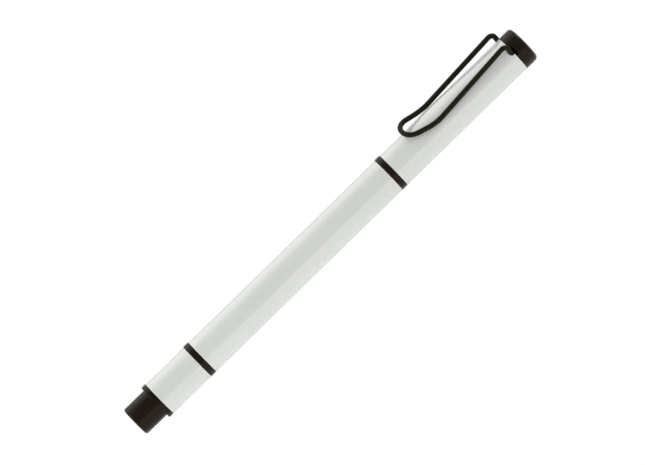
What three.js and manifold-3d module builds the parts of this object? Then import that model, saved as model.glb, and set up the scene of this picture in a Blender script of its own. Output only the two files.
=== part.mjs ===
// A twin-ended technical pen, lying on its side, in millimetres.
//
// The pen's axis runs along X, from the tail (-X) to the crown of the clip cap (+X). The wire clip
// points up (+Z) and the underside touches z = 0. Three white tubes of one outer diameter make the
// outside: the clip cap, the barrel and the short tail cap. Where the barrel meets each cap, the
// flange of a black section shows as a ring. The front section carries a tubular drawing nib with a
// cleaning wire and a drop weight, fed by a cartridge. The rear section carries a broad fibre nib.
//
// Places along the pen are stations, counted from the tail's end face. A profile is a list of
// [station, radius] pairs, turned round the pen's axis, outside first and in rising stations.

import * as THREE from "three";
import { mergeVertices } from "three/addons/utils/BufferGeometryUtils.js";
import Module from "manifold-3d";

const wasm = await Module();
wasm.setup();

// ---------- Driving dimensions ----------

const PEN_RADIUS = 5.5; // outside of all three tubes, both rings and the crown
const BORE_RADIUS = 4.6; // inside of all three tubes
const FIT_RADIUS = 4.5; // what slides or presses into a tube
const GAP = 0.05; // between pieces that meet end to end

const SPIGOT_LENGTH = 7.45; // the tail plug's stub, sized to take the clip cap
const COLLAR_LENGTH = 1.65;
const TAIL_TUBE_LENGTH = 14.15;
const RING_LENGTH = 1.8; // each section's flange
const BARREL_LENGTH = 69.5;
const CAP_TUBE_LENGTH = 44.7;
const CROWN_LENGTH = 4.35;

const WIRE_RADIUS = 0.72; // the clip's wire
const HOOK_INSET = 0.52; // from the clip's hooked ends to the face of the crown's flange
const CLIP_HALF_WIDTH = 3.55; // middle of the wire to the pen's middle plane, at the clip's top
const DIP_HALF_WIDTH = 3.88; // the same at the dip
const LOOP_HALF_WIDTH = 3.4; // the same at the loop, whose end is a half circle
const CLIP_RISE = 7.17; // middle of the wire above the pen's axis, where it leaves the crown
const CLIP_DIP = 4.77; // the same where the clip's two straight runs would meet, over the cap
const CLIP_TIP = 7.55; // the same at the end of the loop
const CLIP_LENGTH = 35.57; // from the clip's pivot to the middle of the wire at the loop's end
const CLIP_TOE = 8.24; // how much of that lies beyond the dip

const NIB_TUBE_RADIUS = 0.35; // draws a line 0.7 mm wide
const NIB_TUBE_BORE = 0.2;
const CLEANING_WIRE_RADIUS = 0.1;
const WEIGHT_TRAVEL = 1.8;

// ---------- Stations ----------

const collarStart = SPIGOT_LENGTH;
const tailTubeStart = collarStart + COLLAR_LENGTH;
const tailRingStart = tailTubeStart + TAIL_TUBE_LENGTH;
const barrelStart = tailRingStart + RING_LENGTH;
const frontRingStart = barrelStart + BARREL_LENGTH;
const capStart = frontRingStart + RING_LENGTH;
const crownStart = capStart + CAP_TUBE_LENGTH;
const penLength = crownStart + CROWN_LENGTH;
const clipPivot = crownStart - HOOK_INSET; // the clip's hooked ends, on the pen's axis

// ---------- Facets ----------

const SIDES = 36; // tubes and all that slides in them
const INNER_SIDES = 24;
const FINE_SIDES = 12;

// ---------- Finishes ----------

const finish = (color, roughness, metalness = 0) =>
  new THREE.MeshStandardMaterial({ color, roughness, metalness });

const WHITE = 0xe6e8e5;
const BLACK = 0x211d19;
const NATURAL = 0xe4e5dd;

// ---------- Makers ----------

// A solid of revolution about the pen's axis, with a flat facet facing straight down.
function turned(profile, sides = SIDES) {
  const points = profile.map(([station, radius]) => new THREE.Vector2(radius, station));
  return new THREE.LatheGeometry(points, sides, Math.PI / sides).rotateZ(-Math.PI / 2);
}

// A ring or tube of rectangular section.
function tube(start, end, bore, radius, sides = SIDES) {
  return turned(
    [
      [start, radius],
      [end, radius],
      [end, bore],
      [start, bore],
      [start, radius],
    ],
    sides,
  );
}

// A round bar, closed at both ends.
function bar(start, end, radius, sides = INNER_SIDES) {
  return turned(
    [
      [start, 0],
      [start, radius],
      [end, radius],
      [end, 0],
    ],
    sides,
  );
}

// A quarter circle that rounds an outside corner, from the end face at `station` to the side.
function roundedEdge(station, radius, size, steps = 4) {
  return Array.from({ length: steps + 1 }, (_, i) => {
    const angle = (i / steps) * (Math.PI / 2);
    return [station + size * (1 - Math.cos(angle)), radius - size * (1 - Math.sin(angle))];
  });
}

function solidOf(geometry) {
  const bare = geometry.clone();
  bare.deleteAttribute("normal");
  bare.deleteAttribute("uv");
  const merged = mergeVertices(bare, 1e-4);
  return new wasm.Manifold(
    new wasm.Mesh({
      numProp: 3,
      vertProperties: merged.attributes.position.array,
      triVerts: new Uint32Array(merged.index.array),
    }),
  );
}

function geometryOf(solid) {
  const mesh = solid.getMesh();
  const geometry = new THREE.BufferGeometry();
  geometry.setAttribute("position", new THREE.BufferAttribute(mesh.vertProperties, 3));
  geometry.setIndex(new THREE.BufferAttribute(mesh.triVerts, 1));
  geometry.computeVertexNormals();
  return geometry;
}

function cutFrom(geometry, cutters) {
  const cut = (solid, cutter) => solid.subtract(solidOf(cutter));
  return geometryOf(cutters.reduce(cut, solidOf(geometry)));
}

const block = (low, high) =>
  new THREE.BoxGeometry(...high.map((value, axis) => value - low[axis])).translate(
    ...high.map((value, axis) => (value + low[axis]) / 2),
  );

const pen = new THREE.Group();
pen.position.set(-penLength / 2, 0, PEN_RADIUS * Math.cos(Math.PI / SIDES));

function add(name, geometry, material) {
  const mesh = new THREE.Mesh(geometry, material);
  mesh.name = name;
  pen.add(mesh);
}

// ---------- Tail cap ----------

const PLUG_FLOOR = 1.4;
const PLUG_BORE = 3.6;
const PLUG_STEM = 2.0; // how far the plug reaches into the tail tube
const LINER_RADIUS = 3.5;
const LINER_BORE = 3.0;
const linerEnd = 12.0; // the liner's mouth closes over the rear section's nose

function tailPlug() {
  const stemEnd = tailTubeStart + PLUG_STEM;
  return turned([
    [0, 0],
    ...roundedEdge(0, FIT_RADIUS, 0.65),
    [collarStart, FIT_RADIUS],
    [collarStart, PEN_RADIUS],
    [tailTubeStart - GAP, PEN_RADIUS],
    [tailTubeStart - GAP, FIT_RADIUS],
    [stemEnd, FIT_RADIUS],
    [stemEnd, PLUG_BORE],
    [PLUG_FLOOR, PLUG_BORE],
    [PLUG_FLOOR, 0],
  ]);
}

function tailLiner() {
  const floor = PLUG_FLOOR + 0.3;
  return turned(
    [
      [floor, 0],
      [floor, LINER_RADIUS],
      [linerEnd, LINER_RADIUS],
      [linerEnd, LINER_BORE],
      [floor + 0.8, LINER_BORE],
      [floor + 0.8, 0],
    ],
    INNER_SIDES,
  );
}

add("tail_plug", tailPlug(), finish(BLACK, 0.35));
add(
  "tail_cap_tube",
  tube(tailTubeStart, tailRingStart - GAP, BORE_RADIUS, PEN_RADIUS),
  finish(WHITE, 0.25),
);
add("tail_cap_liner", tailLiner(), finish(NATURAL, 0.5));

// ---------- Barrel and broad nib ----------

const FELT_RADIUS = 1.9;
const FELT_HOLE = 2.0;
const RESERVOIR_RADIUS = 4.3;
const REAR_NOSE_RADIUS = 2.9;
const feltTip = 4.6;
const rearNose = 10.4;
const rearStubEnd = 31.0;
const feltEnd = 36.0; // the nib's tail stands inside the reservoir
const reservoirEnd = 54.0;
const dividerEnd = 56.4;

function rearSection() {
  return turned([
    [rearNose, FELT_HOLE],
    [rearNose, REAR_NOSE_RADIUS - 0.3],
    [rearNose + 0.3, REAR_NOSE_RADIUS],
    [linerEnd + 0.4, REAR_NOSE_RADIUS],
    [linerEnd + 3.4, FIT_RADIUS],
    [tailRingStart, FIT_RADIUS],
    [tailRingStart, PEN_RADIUS],
    [barrelStart - GAP, PEN_RADIUS],
    [barrelStart - GAP, FIT_RADIUS],
    [rearStubEnd, FIT_RADIUS],
    [rearStubEnd, FELT_HOLE],
    [rearNose, FELT_HOLE],
  ]);
}

function reservoir() {
  return turned(
    [
      [rearStubEnd + 0.3, FELT_HOLE],
      [rearStubEnd + 0.3, RESERVOIR_RADIUS],
      [reservoirEnd, RESERVOIR_RADIUS],
      [reservoirEnd, 0],
      [feltEnd + 0.3, 0],
      [feltEnd + 0.3, FELT_HOLE],
      [rearStubEnd + 0.3, FELT_HOLE],
    ],
    INNER_SIDES,
  );
}

// Two slanting planes cut the fibre rod's end to a chisel.
function broadNib() {
  const SLANT = THREE.MathUtils.degToRad(24);
  const HALF_EDGE = 0.35;
  const REACH = 12;
  const cutters = [1, -1].map((side) =>
    block([-REACH, -REACH, -REACH], [REACH, REACH, REACH])
      .translate(0, 0, side * REACH)
      .rotateY(-side * SLANT)
      .translate(feltTip, 0, side * HALF_EDGE),
  );
  return cutFrom(bar(feltTip, feltEnd, FELT_RADIUS), cutters);
}

add(
  "barrel_tube",
  tube(barrelStart, frontRingStart - GAP, BORE_RADIUS, PEN_RADIUS),
  finish(WHITE, 0.25),
);
add("rear_section", rearSection(), finish(BLACK, 0.35));
add("broad_nib", broadNib(), finish(0x2b2b30, 0.9));
add("fibre_reservoir", reservoir(), finish(0xd9d6cb, 0.9));
add("divider_plug", bar(reservoirEnd + 0.3, dividerEnd, FIT_RADIUS, SIDES), finish(NATURAL, 0.5));

// ---------- Front section and drawing nib ----------

const SECTION_BORE = 3.1;
const NOSE_RADIUS = 3.8;
const STEM_RADIUS = 3.0; // the nib body, inside the section
const CHAMBER_RADIUS = 1.5; // the drop weight's chamber, inside the nib body
const SPIGOT_RADIUS = 1.9; // the nib body's tail, which the cartridge pushes onto
const INK_BORE = 0.9;
const SHOULDER_RADIUS = 1.0;

const frontStubStart = frontRingStart - 6.7;
const stemStart = frontRingStart - 1.4;
const feedSpigotStart = stemStart - 6.3;
const gripEnd = capStart + 12.6;
const noseEnd = capStart + 15.4;
const coneStart = noseEnd + 1.4;
const coneEnd = coneStart + 5.7;
const shoulderEnd = coneEnd + 3.0;
const nibTip = shoulderEnd + 4.5;
const chamberStart = capStart + 6.9;
const chamberEnd = capStart + 17.9;

const RING_GROOVE = 3.6; // floor of the seal's groove
const SEAL_MIDDLE = 4.1;
const SEAL_THICKNESS = 0.42; // radius of the seal's own section
const sealStation = frontStubStart + 2.6;

function frontSection() {
  return turned([
    [frontStubStart, SECTION_BORE],
    [frontStubStart, FIT_RADIUS],
    [sealStation - 0.6, FIT_RADIUS],
    [sealStation - 0.6, RING_GROOVE],
    [sealStation + 0.6, RING_GROOVE],
    [sealStation + 0.6, FIT_RADIUS],
    [frontRingStart, FIT_RADIUS],
    [frontRingStart, PEN_RADIUS],
    [capStart - GAP, PEN_RADIUS],
    [capStart - GAP, FIT_RADIUS],
    [gripEnd, FIT_RADIUS],
    [gripEnd, NOSE_RADIUS],
    [noseEnd, NOSE_RADIUS],
    [noseEnd, SECTION_BORE],
    [frontStubStart, SECTION_BORE],
  ]);
}

function sectionSeal() {
  const STEPS = 8;
  const profile = Array.from({ length: STEPS + 1 }, (_, i) => {
    const angle = ((i % STEPS) / STEPS) * 2 * Math.PI;
    return [
      sealStation - SEAL_THICKNESS * Math.cos(angle),
      SEAL_MIDDLE + SEAL_THICKNESS * Math.sin(angle),
    ];
  });
  return turned(profile);
}

// The stem's ring grooves hold back the ink that warmth drives out of the cartridge.
function nibBody() {
  const GROOVES = 6;
  const PITCH = 1.8;
  const GROOVE_RADIUS = 2.3;
  const firstGroove = stemStart + 2.2;
  const grooves = Array.from({ length: GROOVES }, (_, i) => {
    const start = firstGroove + i * PITCH;
    return [
      [start, STEM_RADIUS],
      [start, GROOVE_RADIUS],
      [start + PITCH / 2, GROOVE_RADIUS],
      [start + PITCH / 2, STEM_RADIUS],
    ];
  });
  return turned(
    [
      [feedSpigotStart, INK_BORE],
      [feedSpigotStart, SPIGOT_RADIUS],
      [stemStart, SPIGOT_RADIUS],
      [stemStart, STEM_RADIUS],
      ...grooves.flat(),
      [coneStart, STEM_RADIUS],
      [coneStart, 3.6],
      [coneEnd, 1.35],
      [coneEnd, SHOULDER_RADIUS + GAP],
      [chamberEnd, SHOULDER_RADIUS + GAP],
      [chamberEnd, CHAMBER_RADIUS],
      [chamberStart, CHAMBER_RADIUS],
      [chamberStart, INK_BORE],
      [feedSpigotStart, INK_BORE],
    ],
    INNER_SIDES,
  );
}

function nibShoulder() {
  const hole = NIB_TUBE_RADIUS + GAP;
  return turned(
    [
      [chamberEnd + 0.3, hole],
      [chamberEnd + 0.3, SHOULDER_RADIUS],
      [coneEnd + GAP, SHOULDER_RADIUS],
      [coneEnd + GAP, 1.25],
      [coneEnd + 0.8, 1.25],
      [shoulderEnd, 0.65],
      [shoulderEnd, hole],
      [chamberEnd + 0.3, hole],
    ],
    INNER_SIDES,
  );
}

add("grip_section", frontSection(), finish(BLACK, 0.35));
add("section_seal", sectionSeal(), finish(0x4c4f50, 0.8));
add(
  "line_width_ring",
  tube(noseEnd + GAP, coneStart - GAP, STEM_RADIUS + 0.1, 3.7),
  finish(0x2456a8, 0.35),
);
add("nib_body", nibBody(), finish(NATURAL, 0.4));
add("nib_shoulder", nibShoulder(), finish(0xb9bcbe, 0.3, 1));
add(
  "nib_tube",
  tube(chamberEnd + 0.8, nibTip, NIB_TUBE_BORE, NIB_TUBE_RADIUS, FINE_SIDES),
  finish(0xc9cccf, 0.2, 1),
);

// ---------- Drop weight ----------

const WEIGHT_RADIUS = 1.2;
const WIRE_HOLE = 0.14;
const plugEnd = chamberStart + 2.5;
const weightStart = plugEnd + 0.1;
const weightEnd = chamberEnd - WEIGHT_TRAVEL - 0.1;
const wireEnd = nibTip + 0.3 - WEIGHT_TRAVEL; // the wire stands 0.3 mm out when the weight drops

function dropWeight() {
  return turned(
    [
      [weightStart, 0],
      [weightStart, WEIGHT_RADIUS],
      [weightEnd, WEIGHT_RADIUS],
      [weightEnd, WIRE_HOLE],
      [weightEnd - 3, WIRE_HOLE],
      [weightEnd - 3, 0],
    ],
    INNER_SIDES,
  );
}

add(
  "chamber_plug",
  tube(chamberStart + 0.1, plugEnd, 0.5, CHAMBER_RADIUS - GAP, INNER_SIDES),
  finish(NATURAL, 0.5),
);
add("drop_weight", dropWeight(), finish(0xb89a52, 0.3, 1));
add(
  "cleaning_wire",
  bar(weightEnd - 2.9, wireEnd, CLEANING_WIRE_RADIUS, FINE_SIDES),
  finish(0xd2d4d6, 0.2, 1),
);

// ---------- Ink cartridge ----------

const CARTRIDGE_RADIUS = 4.3;
const CARTRIDGE_WALL = 0.6;
const NECK_RADIUS = 2.95;
const cartridgeStart = 63.0;
const cartridgeShoulder = frontStubStart - 0.4;

// A bottle of one piece: its rear end is closed and its neck slides over the nib body's spigot.
function cartridge() {
  const bore = CARTRIDGE_RADIUS - CARTRIDGE_WALL;
  const neckBore = SPIGOT_RADIUS + GAP;
  const neckEnd = stemStart - 0.2;
  return turned(
    [
      [cartridgeStart, 0],
      ...roundedEdge(cartridgeStart, CARTRIDGE_RADIUS, 0.6, 2),
      [cartridgeShoulder, CARTRIDGE_RADIUS],
      [cartridgeShoulder, NECK_RADIUS],
      [neckEnd, NECK_RADIUS],
      [neckEnd, neckBore],
      [cartridgeShoulder - 1, neckBore],
      [cartridgeShoulder - 1, bore],
      [cartridgeStart + 0.8, bore],
      [cartridgeStart + 0.8, 0],
    ],
    INNER_SIDES,
  );
}

add("ink_cartridge", cartridge(), finish(0xcfd6d2, 0.25));

// ---------- Clip cap ----------

const INNER_CAP_BORE = 3.9;
const innerCapStart = gripEnd + 0.2;
const innerCapEnd = capStart + 38.0;
const crownStemStart = crownStart - 4.1;
const NOTCH_RADIUS = 0.8;

// Two notches in the tube's end let the clip's wire down into the crown.
function capTube() {
  const cutters = [1, -1].flatMap((side) => {
    const y = side * CLIP_HALF_WIDTH;
    const foot = 1.2;
    const top = PEN_RADIUS + 1;
    const end = new THREE.CylinderGeometry(NOTCH_RADIUS, NOTCH_RADIUS, top - foot, 16)
      .rotateX(Math.PI / 2)
      .translate(clipPivot, y, (foot + top) / 2);
    const throat = block(
      [clipPivot, y - NOTCH_RADIUS, foot],
      [crownStart + 1, y + NOTCH_RADIUS, top],
    );
    return [end, throat];
  });
  return cutFrom(
    tube(capStart, crownStart - GAP, BORE_RADIUS, PEN_RADIUS),
    cutters,
  );
}

// The crown's stem is slotted down each side for the clip's legs and drilled across for its hooks.
function crown() {
  const DOME = 0.25;
  const FLEX_ROOM = 0.75; // cut into the flange, for the legs to lean into as the clip lifts
  const edge = roundedEdge(0, PEN_RADIUS, 1.1).map(([depth, radius]) => [
    penLength - DOME - depth,
    radius,
  ]);
  const body = turned([
    [crownStemStart, 1.5],
    [crownStemStart, FIT_RADIUS],
    [crownStart, FIT_RADIUS],
    [crownStart, PEN_RADIUS],
    ...edge.reverse(),
    [penLength - DOME / 4, 2.4],
    [penLength, 0],
    [crownStart + 1.6, 0],
    [crownStart + 1.6, 1.5],
    [crownStemStart, 1.5],
  ]);
  const slots = [1, -1].map((side) => {
    const inner = side * (CLIP_HALF_WIDTH - NOTCH_RADIUS);
    const outer = side * 4.75;
    return block(
      [clipPivot - NOTCH_RADIUS, Math.min(inner, outer), -NOTCH_RADIUS],
      [crownStart + FLEX_ROOM, Math.max(inner, outer), PEN_RADIUS + 1],
    );
  });
  const hookHole = new THREE.CylinderGeometry(NOTCH_RADIUS, NOTCH_RADIUS, 8, 16).translate(
    clipPivot,
    0,
    0,
  );
  return cutFrom(body, [...slots, hookHole]);
}

function innerCap() {
  return turned([
    [innerCapStart, INNER_CAP_BORE],
    [innerCapStart, FIT_RADIUS],
    [innerCapEnd, FIT_RADIUS],
    [innerCapEnd, 0],
    [innerCapEnd - 1.2, 0],
    [innerCapEnd - 1.2, INNER_CAP_BORE],
    [innerCapStart, INNER_CAP_BORE],
  ]);
}

add("cap_tube", capTube(), finish(WHITE, 0.25));
add("cap_crown", crown(), finish(BLACK, 0.35));
add("inner_cap", innerCap(), finish(NATURAL, 0.5));
add(
  "nib_seal_pad",
  bar(innerCapEnd - 2.9, innerCapEnd - 1.3, INNER_CAP_BORE - 0.1, SIDES),
  finish(0x4c4f50, 0.8),
);

// ---------- Clip ----------

// Straight runs between the corners, joined by circular bends of the radii given.
function bentPath(corners) {
  const path = new THREE.CurvePath();
  let from = corners[0].at;
  corners.slice(1, -1).forEach(({ at, bend }, i) => {
    const inward = corners[i].at.clone().sub(at).normalize();
    const outward = corners[i + 2].at.clone().sub(at).normalize();
    const turn = Math.PI - inward.angleTo(outward);
    const reach = bend * Math.tan(turn / 2);
    const handle = reach - bend * (4 / 3) * Math.tan(turn / 4);
    const point = (direction, distance) => at.clone().addScaledVector(direction, distance);
    path.add(new THREE.LineCurve3(from, point(inward, reach)));
    path.add(
      new THREE.CubicBezierCurve3(
        point(inward, reach),
        point(inward, handle),
        point(outward, handle),
        point(outward, reach),
      ),
    );
    from = point(outward, reach);
  });
  path.add(new THREE.LineCurve3(from, corners.at(-1).at));
  return path;
}

// One wire makes the clip: a hook, a leg, the loop, and back to a second hook.
function clipWire() {
  const side = [
    { at: [0, 1.8, 0] },
    { at: [0, CLIP_HALF_WIDTH, 0], bend: 0.9 },
    { at: [0, CLIP_HALF_WIDTH, CLIP_RISE], bend: 1.4 },
    { at: [CLIP_TOE - CLIP_LENGTH, DIP_HALF_WIDTH, CLIP_DIP], bend: 12.5 },
    { at: [-CLIP_LENGTH, LOOP_HALF_WIDTH, CLIP_TIP], bend: LOOP_HALF_WIDTH - 0.05 },
  ];
  const corner = (mirror) => ({ at: [x, y, z], bend }) => ({
    at: new THREE.Vector3(clipPivot + x, mirror * y, z),
    bend,
  });
  const path = bentPath([...side.map(corner(-1)), ...side.map(corner(1)).reverse()]);
  const section = new THREE.Shape().absarc(0, 0, WIRE_RADIUS, 0, 2 * Math.PI);
  return new THREE.ExtrudeGeometry(section, {
    steps: 130,
    curveSegments: 4,
    bevelEnabled: false,
    extrudePath: path,
  });
}

add("clip_wire", clipWire(), finish(0x1d1913, 0.35, 0.4));

export default pen;
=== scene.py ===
import math

import bmesh
import bpy
from mathutils import Matrix, Vector


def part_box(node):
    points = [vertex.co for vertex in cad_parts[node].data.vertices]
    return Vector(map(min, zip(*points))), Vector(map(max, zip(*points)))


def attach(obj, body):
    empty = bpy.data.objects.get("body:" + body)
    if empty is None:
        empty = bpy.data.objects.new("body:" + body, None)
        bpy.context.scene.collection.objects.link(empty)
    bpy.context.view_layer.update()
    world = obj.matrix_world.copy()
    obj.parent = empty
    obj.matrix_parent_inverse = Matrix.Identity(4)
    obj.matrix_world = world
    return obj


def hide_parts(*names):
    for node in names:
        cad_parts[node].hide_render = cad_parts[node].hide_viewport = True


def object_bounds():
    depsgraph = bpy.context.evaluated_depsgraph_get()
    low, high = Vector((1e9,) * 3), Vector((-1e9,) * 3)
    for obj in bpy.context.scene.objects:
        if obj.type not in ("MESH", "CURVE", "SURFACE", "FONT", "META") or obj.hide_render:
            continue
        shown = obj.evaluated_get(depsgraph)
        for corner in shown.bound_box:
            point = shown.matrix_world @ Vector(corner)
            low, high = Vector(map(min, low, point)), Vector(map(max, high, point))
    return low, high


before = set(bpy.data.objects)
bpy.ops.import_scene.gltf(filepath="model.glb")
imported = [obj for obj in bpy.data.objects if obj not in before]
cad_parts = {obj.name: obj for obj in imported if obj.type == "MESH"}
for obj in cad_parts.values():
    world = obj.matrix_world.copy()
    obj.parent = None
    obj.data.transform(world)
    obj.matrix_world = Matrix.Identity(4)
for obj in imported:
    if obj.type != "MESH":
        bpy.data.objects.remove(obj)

cad_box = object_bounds()


# ---------------------------------------------------------------------------------------------
# Barrel tube. The long white tube in the middle, extruded in ABS, cut to length, lacquered in
# gloss white, with its rims broken by a light chamfer. Both sections press into its ends.
# ---------------------------------------------------------------------------------------------
MM = 0.001

barrel_low, barrel_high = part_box("barrel_tube")
axis_height = (barrel_low.z + barrel_high.z) / 2
pen_radius = round((barrel_high.y - barrel_low.y) / 2, 4)
tube_wall = 0.9 * MM
bore_radius = pen_radius - tube_wall
rim = 0.12 * MM


def rounded_outline(corners, closed, steps=5):
    """The outline's points, with an arc in place of each corner that has a bend radius."""
    points = []
    count = len(corners)
    for i, corner in enumerate(corners):
        here = Vector(corner[:2])
        bend = corner[2] if len(corner) > 2 else 0
        at_end = not closed and i in (0, count - 1)
        if at_end or not bend:
            points.append(here)
            continue
        back = (Vector(corners[i - 1][:2]) - here).normalized()
        ahead = (Vector(corners[(i + 1) % count][:2]) - here).normalized()
        half = back.angle(ahead) / 2
        reach = bend / math.tan(half)
        centre = here + (back + ahead).normalized() * (bend / math.sin(half))
        start = here + back * reach - centre
        turn = start.angle_signed(here + ahead * reach - centre)
        for step in range(steps + 1):
            points.append(centre + Matrix.Rotation(-turn * step / steps, 2) @ start)
    return points


def turned_mesh(name, corners, closed=True, segments=144):
    """A solid of revolution about the pen's axis, from (x, radius, bend) corners in metres."""
    outline = rounded_outline(corners, closed)
    bm = bmesh.new()
    rings = []
    for x, radius in outline:
        if radius < 1e-7:
            rings.append([bm.verts.new((x, 0, axis_height))])
            continue
        ring = []
        for k in range(segments):
            angle = 2 * math.pi * k / segments
            place = (x, radius * math.cos(angle), axis_height + radius * math.sin(angle))
            ring.append(bm.verts.new(place))
        rings.append(ring)
    pairs = list(zip(rings, rings[1:]))
    if closed:
        pairs.append((rings[-1], rings[0]))
    for first, second in pairs:
        for k in range(segments):
            following = (k + 1) % segments
            corners_here = [
                first[k % len(first)],
                first[following % len(first)],
                second[following % len(second)],
                second[k % len(second)],
            ]
            unique = list(dict.fromkeys(corners_here))
            if len(unique) > 2:
                bm.faces.new(unique)
    bmesh.ops.remove_doubles(bm, verts=bm.verts, dist=1e-8)
    bmesh.ops.recalc_face_normals(bm, faces=bm.faces)
    mesh = bpy.data.meshes.new(name)
    bm.to_mesh(mesh)
    bm.free()
    return mesh


def smooth(mesh, crease=35):
    mesh.shade_smooth()
    mesh.set_sharp_from_angle(angle=math.radians(crease))


def placed(name, mesh, material):
    piece = bpy.data.objects.new(name, mesh)
    bpy.context.collection.objects.link(piece)
    mesh.materials.clear()
    mesh.materials.append(material)
    return piece


def fitted(piece, body, slot, *nodes):
    """The piece stands for these solids and moves with their body; its slot argument is not used.
    """
    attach(piece, body)
    if nodes:
        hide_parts(*nodes)


def turned(name, corners, material, body, slot, closed=True, segments=144):
    mesh = turned_mesh(name, corners, closed, segments)
    smooth(mesh)
    piece = placed(name, mesh, material)
    fitted(piece, body, slot, name)
    return piece


def tube_corners(start, end, bore, radius, edge):
    return [(start, radius, edge), (end, radius, edge), (end, bore, edge), (start, bore, edge)]


def new_socket(tree, name, way, kind, value=None):
    socket = tree.interface.new_socket(name, in_out=way, socket_type="NodeSocket" + kind)
    if value is not None:
        socket.default_value = value
    return socket


def surface_marks_group():
    """Masks of what use leaves on a pen: finger smudges, dust specks and hairline scratches."""
    tree = bpy.data.node_groups.new("surface marks", "ShaderNodeTree")
    new_socket(tree, "Place", "INPUT", "Vector")
    new_socket(tree, "Smudge size", "INPUT", "Float", 120)
    new_socket(tree, "Speck size", "INPUT", "Float", 900)
    new_socket(tree, "Scratch size", "INPUT", "Float", 500)
    new_socket(tree, "Smudges", "OUTPUT", "Float")
    new_socket(tree, "Specks", "OUTPUT", "Float")
    new_socket(tree, "Scratches", "OUTPUT", "Float")
    nodes, links = tree.nodes, tree.links
    given = nodes.new("NodeGroupInput")
    result = nodes.new("NodeGroupOutput")

    smudge = nodes.new("ShaderNodeTexNoise")
    smudge.inputs["Detail"].default_value = 4
    smudge.inputs["Distortion"].default_value = 0.6
    smudge_range = nodes.new("ShaderNodeMapRange")
    smudge_range.inputs["From Min"].default_value = 0.42
    smudge_range.inputs["From Max"].default_value = 0.68
    links.new(given.outputs["Place"], smudge.inputs["Vector"])
    links.new(given.outputs["Smudge size"], smudge.inputs["Scale"])
    links.new(smudge.outputs["Fac"], smudge_range.inputs["Value"])
    links.new(smudge_range.outputs["Result"], result.inputs["Smudges"])

    speck = nodes.new("ShaderNodeTexVoronoi")
    speck_range = nodes.new("ShaderNodeMapRange")
    speck_range.inputs["From Min"].default_value = 0.10
    speck_range.inputs["From Max"].default_value = 0.04
    links.new(given.outputs["Place"], speck.inputs["Vector"])
    links.new(given.outputs["Speck size"], speck.inputs["Scale"])
    links.new(speck.outputs["Distance"], speck_range.inputs["Value"])
    links.new(speck_range.outputs["Result"], result.inputs["Specks"])

    stretch = nodes.new("ShaderNodeMapping")
    stretch.inputs["Rotation"].default_value = (0.2, 0.5, 0.35)
    stretch.inputs["Scale"].default_value = (1, 14, 14)
    scratch = nodes.new("ShaderNodeTexNoise")
    scratch.inputs["Detail"].default_value = 2
    scratch_range = nodes.new("ShaderNodeMapRange")
    scratch_range.inputs["From Min"].default_value = 0.69
    scratch_range.inputs["From Max"].default_value = 0.76
    links.new(given.outputs["Place"], stretch.inputs["Vector"])
    links.new(stretch.outputs["Vector"], scratch.inputs["Vector"])
    links.new(given.outputs["Scratch size"], scratch.inputs["Scale"])
    links.new(scratch.outputs["Fac"], scratch_range.inputs["Value"])
    links.new(scratch_range.outputs["Result"], result.inputs["Scratches"])
    return tree


def fine_grain_group():
    """The height of a moulded or lacquered surface: a slow flow wave under a fine grain."""
    tree = bpy.data.node_groups.new("fine grain", "ShaderNodeTree")
    new_socket(tree, "Place", "INPUT", "Vector")
    new_socket(tree, "Flow size", "INPUT", "Float", 300)
    new_socket(tree, "Grain size", "INPUT", "Float", 4000)
    new_socket(tree, "Grain share", "INPUT", "Float", 0.3)
    new_socket(tree, "Height", "OUTPUT", "Float")
    nodes, links = tree.nodes, tree.links
    given = nodes.new("NodeGroupInput")
    result = nodes.new("NodeGroupOutput")
    flow = nodes.new("ShaderNodeTexNoise")
    flow.inputs["Detail"].default_value = 1
    grain = nodes.new("ShaderNodeTexNoise")
    grain.inputs["Detail"].default_value = 3
    blend = nodes.new("ShaderNodeMix")
    links.new(given.outputs["Place"], flow.inputs["Vector"])
    links.new(given.outputs["Place"], grain.inputs["Vector"])
    links.new(given.outputs["Flow size"], flow.inputs["Scale"])
    links.new(given.outputs["Grain size"], grain.inputs["Scale"])
    links.new(given.outputs["Grain share"], blend.inputs["Factor"])
    links.new(flow.outputs["Fac"], blend.inputs["A"])
    links.new(grain.outputs["Fac"], blend.inputs["B"])
    links.new(blend.outputs["Result"], result.inputs["Height"])
    return tree


surface_marks = surface_marks_group()
fine_grain = fine_grain_group()


def grouped(nodes, tree, **values):
    node = nodes.new("ShaderNodeGroup")
    node.node_tree = tree
    for name, value in values.items():
        node.inputs[name.replace("_", " ").capitalize()].default_value = value
    return node


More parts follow.
